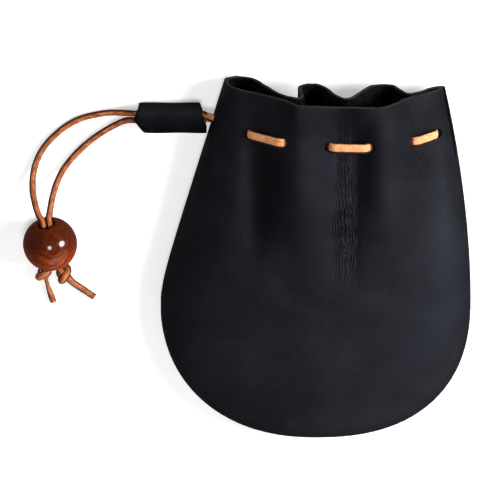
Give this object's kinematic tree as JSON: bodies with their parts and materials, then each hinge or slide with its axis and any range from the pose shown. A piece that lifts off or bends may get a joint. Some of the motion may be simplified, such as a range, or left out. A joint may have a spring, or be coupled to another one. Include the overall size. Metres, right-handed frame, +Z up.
{
  "type": "drawstring dice bag",
  "caption": "Black leather drawstring dice bag lying on its back, with a tan lace, a rolled leather slider and a wooden bead.",
  "frame": {"origin": "centre of the bag's own box on the surface it lies on, without the free ends of the lace", "axes": "+Y along the bag from its round bottom to its mouth, +X to the right of the front, +Z up from the surface through the back and then the front"},
  "size_m": [0.1488, 0.127, 0.0326],
  "materials": {
    "black_leather": "matt, fine grain",
    "slider_leather": "matt, smooth",
    "tan_lace": "satin",
    "bead_wood": "lacquered gloss",
    "black_thread": "waxed"
  },
  "bodies": {
    "bag": {"front_panel": "black_leather", "back_panel": "black_leather", "seam_thread": "black_thread", "lace_neck": "tan_lace", "lead_upper": "tan_lace", "lead_lower": "tan_lace", "strand_outer": "tan_lace", "strand_inner": "tan_lace", "knot_outer": "tan_lace", "knot_inner": "tan_lace"},
    "slider": {"slider": "slider_leather"},
    "bead": {"bead": "bead_wood"}
  },
  "joints": [
    {"name": "slider_slide", "type": "slide", "parent": "bag", "child": "slider", "axis": [-1, 0, 0], "range_m": [0, 0.012], "deforming": ["strand_outer", "strand_inner"]},
    {"name": "bead_spin", "type": "hinge", "parent": "bag", "child": "bead", "pos_m": [-0.0881, 0.0065, 0.009], "axis": [-0.1511, 0.954, 0.2588], "continuous": true}
  ]
}
